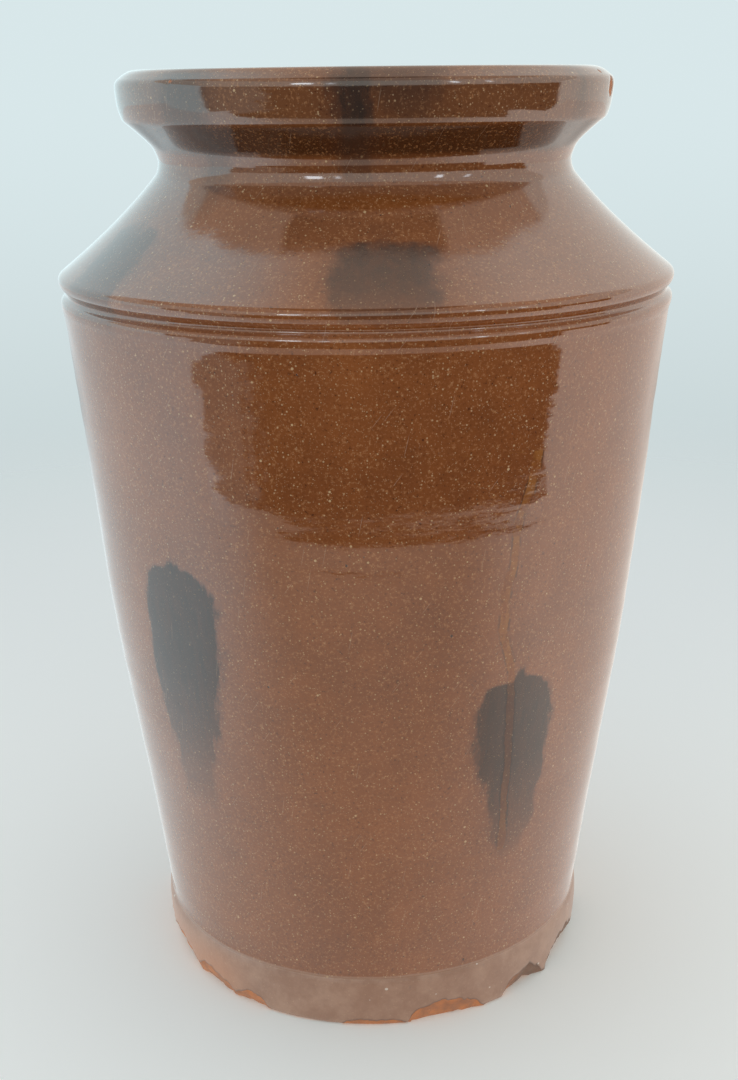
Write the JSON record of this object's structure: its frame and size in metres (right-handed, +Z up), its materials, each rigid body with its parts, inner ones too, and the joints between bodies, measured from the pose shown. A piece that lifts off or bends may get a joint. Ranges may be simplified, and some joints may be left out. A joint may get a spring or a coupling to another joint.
{
  "type": "ceramic fermenting crock",
  "caption": "Tall wide-mouth glazed earthenware crock with a tapered body, angled shoulder, short neck and collar lip, and half-round fired clay weights lying loose inside.",
  "frame": {"origin": "centre of the crock's flat underside", "axes": "+Z up along the pot's axis; -Y faces the viewer; the straight edges of the weights run along Y, one each side of X = 0"},
  "size_m": [0.234, 0.234, 0.3545],
  "materials": {
    "brown_glaze": "gloss",
    "weight_clay": "satin"
  },
  "bodies": {
    "crock": {"crock": "brown_glaze"},
    "weight_left": {"weight_left": "weight_clay"},
    "weight_right": {"weight_right": "weight_clay"}
  },
  "joints": [
    {"name": "weight_left_lift", "type": "slide", "parent": "crock", "child": "weight_left", "axis": [0, 0, 1], "range_m": [0, 0.37]},
    {"name": "weight_right_lift", "type": "slide", "parent": "crock", "child": "weight_right", "axis": [0, 0, 1], "range_m": [0, 0.37]}
  ]
}
